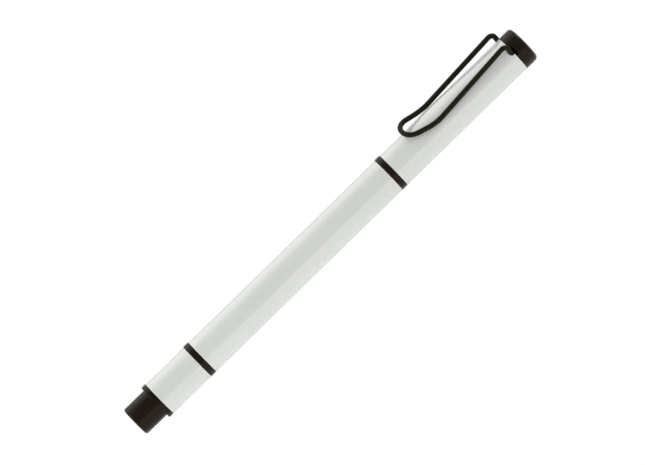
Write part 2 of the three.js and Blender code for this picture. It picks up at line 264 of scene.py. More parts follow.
def finish(
    name,
    colour,
    marked_colour,
    roughness,
    marked_roughness,
    marks,
    grain,
    grain_depth,
    scratch_share=0.35,
    **constants,
):
    """A principled material whose colour and roughness vary with the marks of use, over a grain."""
    material = bpy.data.materials.new(name)
    material.use_nodes = True
    nodes, links = material.node_tree.nodes, material.node_tree.links
    shader = nodes["Principled BSDF"]
    for socket, value in constants.items():
        shader.inputs[socket.replace("_", " ")].default_value = value
    place = nodes.new("ShaderNodeTexCoord")
    marked = grouped(nodes, surface_marks, **marks)
    grained = grouped(nodes, fine_grain, **grain)
    links.new(place.outputs["Object"], marked.inputs["Place"])
    links.new(place.outputs["Object"], grained.inputs["Place"])

    tint = nodes.new("ShaderNodeMix")
    tint.data_type = "RGBA"
    tint.inputs["A"].default_value = (*colour, 1)
    tint.inputs["B"].default_value = (*marked_colour, 1)
    links.new(marked.outputs["Smudges"], tint.inputs["Factor"])
    links.new(tint.outputs["Result"], shader.inputs["Base Color"])

    scratched = nodes.new("ShaderNodeMath")
    scratched.operation = "MULTIPLY_ADD"
    scratched.inputs[1].default_value = scratch_share
    links.new(marked.outputs["Scratches"], scratched.inputs[0])
    links.new(marked.outputs["Smudges"], scratched.inputs[2])
    dusty = nodes.new("ShaderNodeMath")
    dusty.operation = "MAXIMUM"
    links.new(scratched.outputs["Value"], dusty.inputs[0])
    links.new(marked.outputs["Specks"], dusty.inputs[1])
    dull = nodes.new("ShaderNodeMapRange")
    dull.inputs["To Min"].default_value = roughness
    dull.inputs["To Max"].default_value = marked_roughness
    links.new(dusty.outputs["Value"], dull.inputs["Value"])
    links.new(dull.outputs["Result"], shader.inputs["Roughness"])

    bump = nodes.new("ShaderNodeBump")
    bump.inputs["Distance"].default_value = grain_depth
    bump.inputs["Strength"].default_value = 1
    links.new(grained.outputs["Height"], bump.inputs["Height"])
    links.new(bump.outputs["Normal"], shader.inputs["Normal"])
    return material


white_lacquer = finish(
    "white lacquer",
    colour=(0.67, 0.685, 0.668),
    marked_colour=(0.655, 0.67, 0.652),
    roughness=0.32,
    marked_roughness=0.4,
    marks={"smudge_size": 90, "speck_size": 420, "scratch_size": 160},
    grain={"flow_size": 260, "grain_size": 3200, "grain_share": 0.15},
    grain_depth=0.002 * MM,
    Specular_IOR_Level=0.2,
    Coat_Weight=1.0,
    Coat_Roughness=0.15,
    Coat_IOR=1.8,
)

turned(
    "barrel_tube",
    tube_corners(barrel_low.x, barrel_high.x, bore_radius, pen_radius, rim),
    white_lacquer,
    "barrel",
    "white_shell",
)


# ---------------------------------------------------------------------------------------------
# Rear section. One black moulding: its stub is pressed into the barrel, its flange is the ring
# that shows between the barrel and the tail cap, and its nose holds the broad nib.
# ---------------------------------------------------------------------------------------------
rear_low, rear_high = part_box("rear_section")
seat_gap = 0.05 * MM
fit_radius = pen_radius - 1.0 * MM
ring_length = 1.8 * MM
tail_ring = barrel_low.x - ring_length
tail_ring_end = barrel_low.x - seat_gap
felt_hole = 2.0 * MM
rear_nose_radius = 2.9 * MM
rear_nose_end = rear_low.x + 2.0 * MM
rear_cone_end = rear_low.x + 5.0 * MM

black_plastic = finish(
    "black plastic",
    colour=(0.0021, 0.0017, 0.0012),
    marked_colour=(0.0034, 0.0027, 0.0020),
    roughness=0.14,
    marked_roughness=0.26,
    marks={"smudge_size": 260, "speck_size": 1100, "scratch_size": 420},
    grain={"flow_size": 700, "grain_size": 5200, "grain_share": 0.5},
    grain_depth=0.006 * MM,
    Specular_IOR_Level=0.22,
    Specular_Tint=(1.0, 0.76, 0.55, 1),
)

turned(
    "rear_section",
    [
        (rear_low.x, rear_nose_radius, 0.3 * MM),
        (rear_nose_end, rear_nose_radius, 0.4 * MM),
        (rear_cone_end, fit_radius, 0.6 * MM),
        (tail_ring, fit_radius),
        (tail_ring, pen_radius, rim),
        (tail_ring_end, pen_radius, rim),
        (tail_ring_end, fit_radius),
        (rear_high.x, fit_radius, 0.4 * MM),
        (rear_high.x, felt_hole, 0.2 * MM),
        (rear_low.x, felt_hole, 0.1 * MM),
    ],
    black_plastic,
    "barrel",
    "black_shell",
)


# ---------------------------------------------------------------------------------------------
# Broad nib. A rod of pressed fibre, ground to a chisel at one end and soaked with ink. Its tail
# stands in the reservoir, which feeds it.
# ---------------------------------------------------------------------------------------------
felt_low, felt_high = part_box("broad_nib")
felt_radius = 1.9 * MM
chisel_half_edge = 0.35 * MM
chisel_slant = math.radians(24)
slope_reach = 8 * MM


def cut(mesh, cutters):
    """The mesh with the cutters' meshes taken out of it."""
    work = bpy.data.objects.new("work", mesh)
    bpy.context.collection.objects.link(work)
    tools = []
    for cutter in cutters:
        tool = bpy.data.objects.new("tool", cutter)
        bpy.context.collection.objects.link(tool)
        tools.append(tool)
        modifier = work.modifiers.new("cut", "BOOLEAN")
        modifier.operation = "DIFFERENCE"
        modifier.solver = "EXACT"
        modifier.object = tool
    evaluated = work.evaluated_get(bpy.context.evaluated_depsgraph_get())
    result = bpy.data.meshes.new_from_object(evaluated)
    for leftover in [work, *tools]:
        bpy.data.objects.remove(leftover)
    return result


def block_mesh(low, high):
    """A square block between two corners, to cut with."""
    low, high = Vector(low), Vector(high)
    bm = bmesh.new()
    bmesh.ops.create_cube(bm, size=1)
    bmesh.ops.scale(bm, vec=high - low, verts=bm.verts)
    bmesh.ops.translate(bm, vec=(low + high) / 2, verts=bm.verts)
    mesh = bpy.data.meshes.new("block")
    bm.to_mesh(mesh)
    bm.free()
    return mesh


felt = finish(
    "inked felt",
    colour=(0.012, 0.012, 0.016),
    marked_colour=(0.035, 0.035, 0.045),
    roughness=0.85,
    marked_roughness=0.95,
    marks={"smudge_size": 900, "speck_size": 3000, "scratch_size": 900},
    grain={"flow_size": 2500, "grain_size": 9000, "grain_share": 0.5},
    grain_depth=0.05 * MM,
)

felt_mesh = turned_mesh(
    "broad_nib",
    [
        (felt_low.x, 0),
        (felt_low.x, felt_radius, 0.25 * MM),
        (felt_high.x, felt_radius, 0.1 * MM),
        (felt_high.x, 0),
    ],
    closed=False,
    segments=64,
)
slopes = []
for side in (1, -1):
    slope = block_mesh([-slope_reach] * 3, [slope_reach] * 3)
    edge_place = Vector((felt_low.x, 0, axis_height + side * chisel_half_edge))
    lean = Matrix.Rotation(-side * chisel_slant, 4, "Y")
    lift = Matrix.Translation((0, 0, side * slope_reach))
    slope.transform(Matrix.Translation(edge_place) @ lean @ lift)
    slopes.append(slope)
felt_mesh = cut(felt_mesh, slopes)
smooth(felt_mesh, crease=30)
fitted(placed("broad_nib", felt_mesh, felt), "barrel", "inked_felt", "broad_nib")


# ---------------------------------------------------------------------------------------------
# Fibre reservoir and divider. The reservoir is a bundle of fibre in the barrel's rear half. The
# divider, a natural plastic plug pressed in ahead of it, keeps it from the cartridge's half.
# ---------------------------------------------------------------------------------------------
store_low, store_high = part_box("fibre_reservoir")
divider_low, divider_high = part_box("divider_plug")
store_radius = 4.3 * MM
felt_pocket_end = felt_high.x + 0.3 * MM
dish_floor = divider_high.x - 0.8 * MM
dish_mouth_radius = fit_radius - 0.8 * MM
dish_floor_radius = fit_radius - 1.1 * MM

fibre = finish(
    "bundled fibre",
    colour=(0.62, 0.60, 0.54),
    marked_colour=(0.08, 0.08, 0.11),
    roughness=0.9,
    marked_roughness=0.95,
    marks={"smudge_size": 140, "speck_size": 2500, "scratch_size": 900},
    grain={"flow_size": 1800, "grain_size": 8000, "grain_share": 0.5},
    grain_depth=0.05 * MM,
)
natural_plastic = finish(
    "natural plastic",
    colour=(0.72, 0.73, 0.68),
    marked_colour=(0.69, 0.70, 0.645),
    roughness=0.38,
    marked_roughness=0.5,
    marks={"smudge_size": 300, "speck_size": 1200, "scratch_size": 500},
    grain={"flow_size": 900, "grain_size": 5000, "grain_share": 0.4},
    grain_depth=0.006 * MM,
    Subsurface_Weight=0.15,
    Subsurface_Radius=(0.001, 0.001, 0.0009),
)

turned(
    "fibre_reservoir",
    [
        (store_low.x, felt_hole),
        (store_low.x, store_radius, 0.3 * MM),
        (store_high.x, store_radius, 0.3 * MM),
        (store_high.x, 0),
        (felt_pocket_end, 0),
        (felt_pocket_end, felt_hole),
        (store_low.x, felt_hole),
    ],
    fibre,
    "barrel",
    "fibre",
    closed=False,
    segments=96,
)
turned(
    "divider_plug",
    [
        (divider_low.x, 0),
        (divider_low.x, fit_radius, 0.3 * MM),
        (divider_high.x, fit_radius, 0.3 * MM),
        (divider_high.x, dish_mouth_radius, 0.2 * MM),
        (dish_floor, dish_floor_radius, 0.2 * MM),
        (dish_floor, 0),
    ],
    natural_plastic,
    "barrel",
    "natural_plastic",
    closed=False,
)


# ---------------------------------------------------------------------------------------------
# Front section. A black moulding like the rear one: stub, ring flange, then the grip that the
# clip cap slides over, and a nose that the inner cap closes on. Its grip is ribbed for the hand.
# ---------------------------------------------------------------------------------------------
grip_low, grip_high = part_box("grip_section")
cap_low, cap_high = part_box("cap_tube")
seal_low, seal_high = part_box("section_seal")
front_ring = barrel_high.x + seat_gap
front_ring_end = cap_low.x - seat_gap
section_bore = 3.1 * MM
nose_radius = 3.8 * MM
grip_end = grip_high.x - 2.8 * MM
seal_middle_x = (seal_low.x + seal_high.x) / 2
groove_start = seal_middle_x - 0.6 * MM
groove_end = seal_middle_x + 0.6 * MM
groove_floor = 3.6 * MM
rib_start = cap_low.x + 2.2 * MM
rib_pitch = 0.75 * MM
rib_count = 12
rib_end = rib_start + (rib_count - 1) * rib_pitch
rib_radius = 0.24 * MM
bed_radius = fit_radius - 0.16 * MM

turned(
    "grip_section",
    [
        (grip_low.x, fit_radius, 0.3 * MM),
        (groove_start, fit_radius, 0.08 * MM),
        (groove_start, groove_floor, 0.08 * MM),
        (groove_end, groove_floor, 0.08 * MM),
        (groove_end, fit_radius, 0.08 * MM),
        (front_ring, fit_radius),
        (front_ring, pen_radius, rim),
        (front_ring_end, pen_radius, rim),
        (front_ring_end, fit_radius),
        (rib_start - 0.5 * MM, fit_radius, 0.1 * MM),
        (rib_start - 0.4 * MM, bed_radius, 0.05 * MM),
        (rib_end + 0.4 * MM, bed_radius, 0.05 * MM),
        (rib_end + 0.5 * MM, fit_radius, 0.1 * MM),
        (grip_end, fit_radius, 0.25 * MM),
        (grip_end, nose_radius, 0.1 * MM),
        (grip_high.x, nose_radius, 0.3 * MM),
        (grip_high.x, section_bore, 0.1 * MM),
        (grip_low.x, section_bore, 0.1 * MM),
    ],
    black_plastic,
    "front_unit",
    "black_shell",
)


def linked(tree, kind, inputs=None, **settings):
    """A node with its settings made, and each named input linked or given its value."""
    node = tree.nodes.new(kind)
    for name, value in settings.items():
        setattr(node, name, value)
    for name, value in (inputs or {}).items():
        if isinstance(value, bpy.types.NodeSocket):
            tree.links.new(value, node.inputs[name])
        else:
            node.inputs[name].default_value = value
    return node


def set_inputs(modifier, values):
    """Gives a nodes modifier its values, by the names of the tree's sockets."""
    sockets = modifier.node_group.interface.items_tree
    for name, value in values.items():
        socket = next(s for s in sockets if s.name == name and s.in_out == "INPUT")
        modifier[socket.identifier] = value


def grown(name, tree, values, start_mesh=None):
    """The plain mesh that a geometry nodes tree makes from a start mesh."""
    seed = bpy.data.objects.new("seed", start_mesh or bpy.data.meshes.new("seed"))
    bpy.context.collection.objects.link(seed)
    modifier = seed.modifiers.new("growth", "NODES")
    modifier.node_group = tree
    set_inputs(modifier, values)
    evaluated = seed.evaluated_get(bpy.context.evaluated_depsgraph_get())
    mesh = bpy.data.meshes.new_from_object(evaluated)
    bpy.data.objects.remove(seed)
    mesh.name = name
    return mesh


def ring_ribs_tree():
    """Round ribs in a row along X, each a hoop of round section."""
    tree = bpy.data.node_groups.new("ring ribs", "GeometryNodeTree")
    new_socket(tree, "Geometry", "INPUT", "Geometry")
    new_socket(tree, "Count", "INPUT", "Int", 10)
    new_socket(tree, "Start", "INPUT", "Vector")
    new_socket(tree, "Pitch", "INPUT", "Vector")
    new_socket(tree, "Hoop radius", "INPUT", "Float")
    new_socket(tree, "Rib radius", "INPUT", "Float")
    new_socket(tree, "Material", "INPUT", "Material")
    new_socket(tree, "Geometry", "OUTPUT", "Geometry")
    given = tree.nodes.new("NodeGroupInput").outputs
    hoop = linked(
        tree,
        "GeometryNodeCurvePrimitiveCircle",
        {"Resolution": 144, "Radius": given["Hoop radius"]},
    )
    section = linked(
        tree,
        "GeometryNodeCurvePrimitiveCircle",
        {"Resolution": 12, "Radius": given["Rib radius"]},
    )
    rib = linked(
        tree,
        "GeometryNodeCurveToMesh",
        {"Curve": hoop.outputs["Curve"], "Profile Curve": section.outputs["Curve"]},
    )
    row = linked(
        tree,
        "GeometryNodeMeshLine",
        {
            "Count": given["Count"],
            "Start Location": given["Start"],
            "Offset": given["Pitch"],
        },
    )
    ribs = linked(
        tree,
        "GeometryNodeInstanceOnPoints",
        {
            "Points": row.outputs["Mesh"],
            "Instance": rib.outputs["Mesh"],
            "Rotation": (0, math.pi / 2, 0),
        },
    )
    real = linked(tree, "GeometryNodeRealizeInstances", {"Geometry": ribs.outputs["Instances"]})
    painted = linked(
        tree,
        "GeometryNodeSetMaterial",
        {"Geometry": real.outputs["Geometry"], "Material": given["Material"]},
    )
    linked(tree, "NodeGroupOutput", {"Geometry": painted.outputs["Geometry"]})
    return tree


rib_mesh = grown(
    "grip_ribs",
    ring_ribs_tree(),
    {
        "Count": rib_count,
        "Start": (rib_start, 0, axis_height),
        "Pitch": (rib_pitch, 0, 0),
        "Hoop radius": fit_radius - rib_radius,
        "Rib radius": rib_radius,
        "Material": black_plastic,
    },
)
smooth(rib_mesh, crease=60)
fitted(placed("grip_ribs", rib_mesh, black_plastic), "front_unit", "black_shell")


# ---------------------------------------------------------------------------------------------
# Section seal. A rubber O-ring in the stub's groove, which keeps a leak inside the barrel.
# ---------------------------------------------------------------------------------------------
seal_rubber = finish(
    "seal rubber",
    colour=(0.05, 0.052, 0.052),
    marked_colour=(0.08, 0.082, 0.08),
    roughness=0.6,
    marked_roughness=0.8,
    marks={"smudge_size": 600, "speck_size": 1800, "scratch_size": 800},
    grain={"flow_size": 1500, "grain_size": 6000, "grain_share": 0.6},
    grain_depth=0.01 * MM,
)
seal_cord_radius = 0.42 * MM
seal_hoop_radius = 4.1 * MM
seal_sides = 24
seal_corners = []
for step in range(seal_sides):
    angle = -2 * math.pi * step / seal_sides
    corner_x = seal_middle_x + seal_cord_radius * math.cos(angle)
    seal_corners.append((corner_x, seal_hoop_radius + seal_cord_radius * math.sin(angle)))
turned("section_seal", seal_corners, seal_rubber, "front_unit", "seal_rubber", segments=96)


# ---------------------------------------------------------------------------------------------
# Line-width ring. A coloured plastic ring clamped between the nose and the nib body, whose
# colour tells one line width from another.
# ---------------------------------------------------------------------------------------------
code_low, code_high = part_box("line_width_ring")
code_bore = 3.1 * MM
code_radius = 3.7 * MM

blue_plastic = finish(
    "blue plastic",
    colour=(0.022, 0.09, 0.36),
    marked_colour=(0.03, 0.105, 0.38),
    roughness=0.28,
    marked_roughness=0.4,
    marks={"smudge_size": 400, "speck_size": 1500, "scratch_size": 600},
    grain={"flow_size": 900, "grain_size": 5000, "grain_share": 0.4},
    grain_depth=0.004 * MM,
)
turned(
    "line_width_ring",
    tube_corners(code_low.x, code_high.x, code_bore, code_radius, 0.15 * MM),
    blue_plastic,
    "front_unit",
    "blue_plastic",
)


# ---------------------------------------------------------------------------------------------
# Nib body. Natural plastic, turned and moulded: a spigot for the cartridge, a stem cut with
# feed grooves, a chamber for the drop weight, and the cone that shows ahead of the ring.
# ---------------------------------------------------------------------------------------------
body_low, body_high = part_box("nib_body")
stem_radius = 3.0 * MM
spigot_radius = 1.9 * MM
ink_bore = 0.9 * MM
chamber_radius = 1.5 * MM
shoulder_radius = 1.0 * MM
shoulder_hole = shoulder_radius + 0.05 * MM
spigot_length = 6.3 * MM
stem_start = body_low.x + spigot_length
cone_start = code_high.x + seat_gap
cone_end = body_high.x
cone_foot_radius = 3.6 * MM
cone_belly_radius = 3.45 * MM
cone_neck_radius = 1.5 * MM
cone_tip_radius = 1.35 * MM
chamber_start = cap_low.x + 6.9 * MM
chamber_end = cap_low.x + 17.9 * MM
feed_grooves = 6
feed_start = stem_start + 2.2 * MM
feed_pitch = 1.8 * MM
feed_floor = 2.3 * MM
feed_edge = 0.05 * MM

nib_body_corners = [
    (body_low.x, ink_bore),
    (body_low.x, spigot_radius, 0.2 * MM),
    (stem_start, spigot_radius),
    (stem_start, stem_radius, 0.2 * MM),
]
for groove in range(feed_grooves):
    start = feed_start + groove * feed_pitch
    end = start + feed_pitch / 2
    nib_body_corners += [
        (start, stem_radius, feed_edge),
        (start, feed_floor, feed_edge),
        (end, feed_floor, feed_edge),
        (end, stem_radius, feed_edge),
    ]
nib_body_corners += [
    (cone_start, stem_radius),
    (cone_start, cone_foot_radius, 0.15 * MM),
    (cone_start + 1.1 * MM, cone_belly_radius, 0.8 * MM),
    (cone_end - 1.0 * MM, cone_neck_radius, 0.8 * MM),
    (cone_end, cone_tip_radius, 0.12 * MM),
    (cone_end, shoulder_hole),
    (chamber_end, shoulder_hole),
    (chamber_end, chamber_radius),
    (chamber_start, chamber_radius),
    (chamber_start, ink_bore),
]
turned("nib_body", nib_body_corners, natural_plastic, "front_unit", "natural_plastic", segments=96)


# ---------------------------------------------------------------------------------------------
# Nib shoulder and drawing tube. Both are stainless steel: the turned shoulder is pressed into
# the cone, and the ground tube through it draws a line of its own width.
# ---------------------------------------------------------------------------------------------
shoulder_low, shoulder_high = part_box("nib_shoulder")
tube_low, tube_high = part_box("nib_tube")
tube_radius = 0.35 * MM
tube_bore = 0.2 * MM
tube_seat = 0.4 * MM
flange_start = cone_end + seat_gap
flange_end = cone_end + 0.8 * MM
flange_radius = 1.25 * MM
shoulder_nose_radius = 0.62 * MM

steel = finish(
    "stainless steel",
    colour=(0.62, 0.63, 0.64),
    marked_colour=(0.52, 0.53, 0.54),
    roughness=0.16,
    marked_roughness=0.3,
    marks={"smudge_size": 700, "speck_size": 2500, "scratch_size": 900},
    grain={"flow_size": 1500, "grain_size": 9000, "grain_share": 0.6},
    grain_depth=0.002 * MM,
    Metallic=1.0,
)
turned(
    "nib_shoulder",
    [
        (shoulder_low.x, tube_seat),
        (shoulder_low.x, shoulder_radius, 0.1 * MM),
        (flange_start, shoulder_radius),
        (flange_start, flange_radius, 0.1 * MM),
        (flange_end, flange_radius, 0.15 * MM),
        (flange_end + 0.3 * MM, shoulder_radius, 0.15 * MM),
        (shoulder_high.x, shoulder_nose_radius, 0.12 * MM),
        (shoulder_high.x, tube_seat),
    ],
    steel,
    "front_unit",
    "steel",
    segments=96,
)
turned(
    "nib_tube",
    tube_corners(tube_low.x, tube_high.x, tube_bore, tube_radius, 0.04 * MM),
    steel,
    "front_unit",
    "steel",
    segments=48,
)


# ---------------------------------------------------------------------------------------------
# Chamber plug, drop weight and cleaning wire. The wire is soldered into a small brass weight
# that falls to and fro in the nib body, so a shake clears the drawing tube. The plug holds it in.
# ---------------------------------------------------------------------------------------------
plug_low, plug_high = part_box("chamber_plug")
weight_low, weight_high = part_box("drop_weight")
wire_low, wire_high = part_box("cleaning_wire")
vent_radius = 0.5 * MM
chamber_plug_radius = chamber_radius - 0.05 * MM
weight_radius = 1.2 * MM
wire_hole = 0.14 * MM
wire_hole_end = weight_high.x - 3 * MM
cleaning_radius = 0.1 * MM

brass = finish(
    "turned brass",
    colour=(0.62, 0.42, 0.14),
    marked_colour=(0.42, 0.28, 0.10),
    roughness=0.25,
    marked_roughness=0.4,
    marks={"smudge_size": 900, "speck_size": 2500, "scratch_size": 900},
    grain={"flow_size": 1500, "grain_size": 9000, "grain_share": 0.6},
    grain_depth=0.003 * MM,
    Metallic=1.0,
)
turned(
    "chamber_plug",
    tube_corners(plug_low.x, plug_high.x, vent_radius, chamber_plug_radius, 0.1 * MM),
    natural_plastic,
    "front_unit",
    "natural_plastic",
    segments=64,
)
turned(
    "drop_weight",
    [
        (weight_low.x, 0),
        (weight_low.x, weight_radius, 0.2 * MM),
        (weight_high.x, weight_radius, 0.2 * MM),
        (weight_high.x, wire_hole),
        (wire_hole_end, wire_hole),
        (wire_hole_end, 0),
    ],
    brass,
    "cleaning_weight",
    "brass",
    closed=False,
    segments=64,
)
turned(
    "cleaning_wire",
    [
        (wire_low.x, 0),
        (wire_low.x, cleaning_radius, 0.02 * MM),
        (wire_high.x, cleaning_radius, 0.05 * MM),
        (wire_high.x, 0),
    ],
    steel,
    "cleaning_weight",
    "steel",
    closed=False,
    segments=24,
)


# ---------------------------------------------------------------------------------------------
# Ink cartridge. A blow-moulded bottle in milky clear plastic, most of the way full, whose neck
# pushes over the nib body's spigot.
# ---------------------------------------------------------------------------------------------
bottle_low, bottle_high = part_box("ink_cartridge")
bottle_radius = 4.3 * MM
bottle_bore = 3.7 * MM
bottle_floor = bottle_low.x + 0.8 * MM
bottle_shoulder = grip_low.x - 0.4 * MM
bottle_roof = bottle_shoulder - 1 * MM
neck_radius = 2.95 * MM
neck_bore = spigot_radius + 0.05 * MM
ink_radius = bottle_bore - 0.05 * MM
ink_low = bottle_floor + 0.1 * MM
ink_level = bottle_shoulder - 4.5 * MM

clear_plastic = finish(
    "milky clear plastic",
    colour=(0.50, 0.55, 0.55),
    marked_colour=(0.45, 0.49, 0.49),
    roughness=0.18,
    marked_roughness=0.32,
    marks={"smudge_size": 300, "speck_size": 1200, "scratch_size": 500},
    grain={"flow_size": 600, "grain_size": 4000, "grain_share": 0.3},
    grain_depth=0.006 * MM,
    Alpha=0.2,
)
ink_black = finish(
    "ink",
    colour=(0.004, 0.004, 0.006),
    marked_colour=(0.006, 0.006, 0.009),
    roughness=0.05,
    marked_roughness=0.1,
    marks={"smudge_size": 300, "speck_size": 1200, "scratch_size": 500},
    grain={"flow_size": 200, "grain_size": 1000, "grain_share": 0.1},
    grain_depth=0.001 * MM,
)
turned(
    "ink_cartridge",
    [
        (bottle_low.x, 0),
        (bottle_low.x, bottle_radius, 0.8 * MM),
        (bottle_shoulder, bottle_radius, 0.5 * MM),
        (bottle_shoulder, neck_radius, 0.25 * MM),
        (bottle_high.x, neck_radius, 0.15 * MM),
        (bottle_high.x, neck_bore, 0.1 * MM),
        (bottle_roof, neck_bore, 0.2 * MM),
        (bottle_roof, bottle_bore, 0.4 * MM),
        (bottle_floor, bottle_bore, 0.4 * MM),
        (bottle_floor, 0),
    ],
    clear_plastic,
    "cartridge",
    "natural_plastic",
    closed=False,
)
ink_mesh = turned_mesh(
    "ink",
    [
        (ink_low, 0),
        (ink_low, ink_radius, 0.4 * MM),
        (ink_level, ink_radius, 0.3 * MM),
        (ink_level - 0.4 * MM, 0),
    ],
    closed=False,
    segments=96,
)
smooth(ink_mesh)
fitted(placed("ink", ink_mesh, ink_black), "cartridge", "black_shell")


# ---------------------------------------------------------------------------------------------
# Cap tube. The same white tube as the barrel, with two round-ended notches filed into its crown
# end to let the clip's wire down into the crown.
# ---------------------------------------------------------------------------------------------
crown_low, crown_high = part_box("cap_crown")
crown_start = cap_high.x + seat_gap
clip_pivot = crown_start - 0.52 * MM
clip_half_width = 3.55 * MM
notch_radius = 0.8 * MM
notch_foot = 1.2 * MM
notch_end = crown_start + 1 * MM
cutter_top = pen_radius + 1 * MM


def notch_cutter(side, radius, foot, start_x, end_x, steps=24):
    """An upright prism with a round end towards the tail, at one leg of the clip."""
    outline = [(end_x, radius), (end_x, -radius)]
    for step in range(steps + 1):
        angle = -math.pi / 2 - math.pi * step / steps
        outline.append((start_x + radius * math.cos(angle), radius * math.sin(angle)))
    bm = bmesh.new()
    leg_y = side * clip_half_width
    low = [bm.verts.new((x, leg_y + y, axis_height + foot)) for x, y in outline]
    face = bm.faces.new(low)
    grown_face = bmesh.ops.extrude_face_region(bm, geom=[face])
    top = [v for v in grown_face["geom"] if isinstance(v, bmesh.types.BMVert)]
    bmesh.ops.translate(bm, vec=(0, 0, cutter_top - foot), verts=top)
    bmesh.ops.recalc_face_normals(bm, faces=bm.faces)
    mesh = bpy.data.meshes.new("notch")
    bm.to_mesh(mesh)
    bm.free()
    return mesh


cap_corners = tube_corners(cap_low.x, cap_high.x, bore_radius, pen_radius, rim)
extra_ring_x = cap_high.x - 2.4 * MM
cap_mesh = turned_mesh(
    "cap_tube",
    [
        cap_corners[0],
        (extra_ring_x, pen_radius),
        *cap_corners[1:3],
        (extra_ring_x, bore_radius),
        cap_corners[3],
    ],
    segments=192,
)
notches = [
    notch_cutter(side, notch_radius, notch_foot, clip_pivot, notch_end) for side in (1, -1)
]
cap_mesh = cut(cap_mesh, notches)
smooth(cap_mesh, crease=30)
fitted(placed("cap_tube", cap_mesh, white_lacquer), "clip_cap", "white_shell", "cap_tube")


# ---------------------------------------------------------------------------------------------
# Inner cap and seal pad. A natural plastic cup, pressed up the cap, closes on the section's nose
# and keeps the air in it damp. The rubber pad in its floor is wetted so that the nib can't dry.
# ---------------------------------------------------------------------------------------------
cup_low, cup_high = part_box("inner_cap")
pad_low, pad_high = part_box("nib_seal_pad")
cup_bore = 3.9 * MM
cup_floor = cup_high.x - 1.2 * MM
pad_radius = cup_bore - 0.1 * MM

turned(
    "inner_cap",
    [
        (cup_low.x, cup_bore, 0.2 * MM),
        (cup_low.x, fit_radius, 0.1 * MM),
        (cup_high.x, fit_radius, 0.4 * MM),
        (cup_high.x, 0),
        (cup_floor, 0),
        (cup_floor, cup_bore, 0.3 * MM),
        (cup_low.x, cup_bore),
    ],
    natural_plastic,
    "clip_cap",
    "natural_plastic",
    closed=False,
)
turned(
    "nib_seal_pad",
    [
        (pad_low.x, 0),
        (pad_low.x, pad_radius, 0.3 * MM),
        (pad_high.x, pad_radius, 0.3 * MM),
        (pad_high.x, 0),
    ],
    seal_rubber,
    "clip_cap",
    "seal_rubber",
    closed=False,
    segments=96,
)


# ---------------------------------------------------------------------------------------------
# Crown. A black moulding with a low domed top. Its stem is pressed into the cap tube, is slotted
# down both sides for the clip's legs, and is drilled across for the clip's hooks.
# ---------------------------------------------------------------------------------------------
crown_bore = 1.5 * MM
crown_web = crown_start + 1.6 * MM
dome_radius = 2.6 * MM
slot_inner = clip_half_width - notch_radius
slot_outer = 4.75 * MM
slot_end = crown_start + 0.75 * MM
drill_length = 8 * MM

crown_mesh = turned_mesh(
    "cap_crown",
    [
        (crown_low.x, crown_bore),
        (crown_low.x, fit_radius, 0.3 * MM),
        (crown_start, fit_radius),
        (crown_start, pen_radius, 0.08 * MM),
        (crown_high.x - 0.28 * MM, pen_radius, 1.1 * MM),
        (crown_high.x - 0.06 * MM, dome_radius, 6 * MM),
        (crown_high.x, 0),
        (crown_web, 0),
        (crown_web, crown_bore),
        (crown_low.x, crown_bore),
    ],
    closed=False,
    segments=192,
)
leg_slots = []
for side in (1, -1):
    near, far = sorted((side * slot_inner, side * slot_outer))
    leg_slots.append(
        block_mesh(
            (clip_pivot - notch_radius, near, axis_height - notch_radius),
            (slot_end, far, axis_height + cutter_top),
        )
    )
hook_drill = bpy.data.meshes.new("drill")
drill = bmesh.new()
bmesh.ops.create_cone(
    drill,
    cap_ends=True,
    segments=48,
    radius1=notch_radius,
    radius2=notch_radius,
    depth=drill_length,
    matrix=Matrix.Translation((clip_pivot, 0, axis_height)) @ Matrix.Rotation(math.pi / 2, 4, "X"),
)
drill.to_mesh(hook_drill)
drill.free()
crown_mesh = cut(crown_mesh, [*leg_slots, hook_drill])
smooth(crown_mesh, crease=30)
fitted(placed("cap_crown", crown_mesh, black_plastic), "clip_cap", "black_shell", "cap_crown")


# ---------------------------------------------------------------------------------------------
# Clip. One spring wire, coated black and bent on a jig: a hook, a leg up out of the notch, a run
# down to the cap, a round loop turned up at its end, and the same back again to a second hook.
# ---------------------------------------------------------------------------------------------
wire_radius = 0.72 * MM
dip_half_width = 3.88 * MM
loop_half_width = 3.4 * MM
clip_rise = 7.17 * MM
clip_dip = 4.77 * MM
clip_tip = 7.55 * MM
clip_length = 35.57 * MM
clip_toe = 8.24 * MM
hook_half_gap = 1.8 * MM
hook_bend = 0.9 * MM
shoulder_bend = 1.4 * MM
dip_bend = 12.5 * MM
loop_bend = loop_half_width - 0.05 * MM


